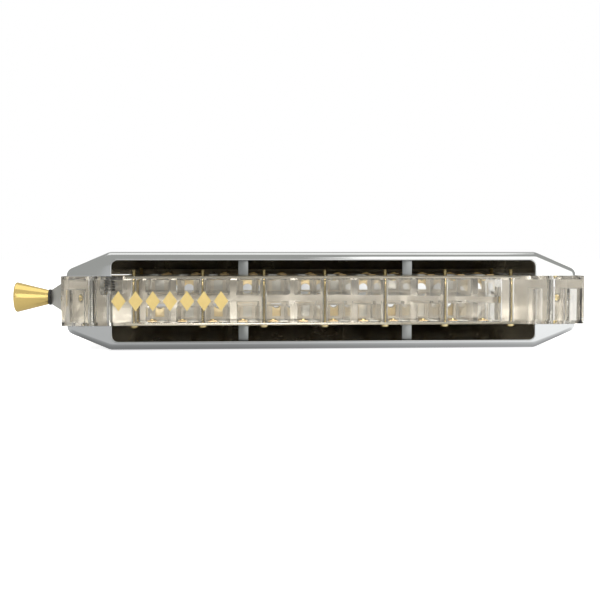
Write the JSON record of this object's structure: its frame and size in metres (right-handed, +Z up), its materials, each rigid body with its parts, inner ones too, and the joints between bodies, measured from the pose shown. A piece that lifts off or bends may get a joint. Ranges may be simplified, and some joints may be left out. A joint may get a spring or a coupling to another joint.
{
  "type": "chromatic harmonica",
  "caption": "Slide chromatic harmonica with a clear comb, open-backed chrome covers, gold mouthpiece and a sprung slide worked by a gold button at one end.",
  "frame": {"origin": "on the flat underside of the lower cover, below the middle of the comb", "axes": "+X along the harmonica towards the low notes, away from the slide button; +Y out of the mouthpiece towards the player; +Z up through the upper cover"},
  "size_m": [0.1746, 0.0381, 0.0286],
  "materials": {
    "clear_comb": "clear polished acrylic",
    "plate_nickel": "satin rolled nickel silver",
    "reed_bronze": "scraped bronze reeds",
    "valve_film": "thin frosted film",
    "screw_brass": "turned brass",
    "cover_chrome": "mirror chrome plate on stamped steel",
    "strip_steel": "satin steel strip",
    "bolt_steel": "nickel-plated steel",
    "gold_plate": "polished gold plate",
    "slide_steel": "satin rolled steel",
    "plate_steel": "bright rolled steel",
    "spring_wire": "bright spring wire",
    "gilt_print": "gilt foil print",
    "dark_rubber": "matte black rubber"
  },
  "bodies": {
    "harmonica_body": {"comb": "clear_comb", "reed_plate_upper": "plate_nickel", "reed_plate_lower": "plate_nickel", "blow_reeds_upper": "reed_bronze", "blow_reeds_lower": "reed_bronze", "draw_reeds_upper": "reed_bronze", "draw_reeds_lower": "reed_bronze", "reed_rivets_upper": "screw_brass", "reed_rivets_lower": "screw_brass", "outer_valves_upper": "valve_film", "outer_valves_lower": "valve_film", "inner_valves_upper": "valve_film", "inner_valves_lower": "valve_film", "reed_plate_screws": "screw_brass", "cover_upper": "cover_chrome", "cover_lower": "cover_chrome", "cover_supports_upper": "strip_steel", "cover_supports_lower": "strip_steel", "cover_bolts": "bolt_steel", "cover_nuts": "bolt_steel", "mouthpiece": "gold_plate", "slide_front_plate": "gold_plate", "slide_channel": "plate_steel", "slide_back_plate": "plate_steel", "mouthpiece_screws": "screw_brass", "slide_spring_coil": "spring_wire", "spring_pin": "bolt_steel", "rear_ornament": "gilt_print"},
    "slide_unit": {"slide": "slide_steel", "slide_button": "gold_plate", "button_washer": "dark_rubber"},
    "spring_arm": {"slide_spring_arm": "spring_wire"}
  },
  "joints": [
    {"name": "slide_press", "type": "slide", "parent": "harmonica_body", "child": "slide_unit", "axis": [1, 0, 0], "range_m": [0, 0.00445], "stiffness_N_per_m": 300, "springref_m": -0.002},
    {"name": "spring_arm_swing", "type": "hinge", "parent": "harmonica_body", "child": "spring_arm", "pos_m": [-0.064, -0.006, 0.0173], "axis": [0, 0, -1], "range_deg": [0, 12]}
  ],
  "couplings": [
    {"joint": "spring_arm_swing", "follows": "slide_press", "rad_per_m": 46.88}
  ]
}
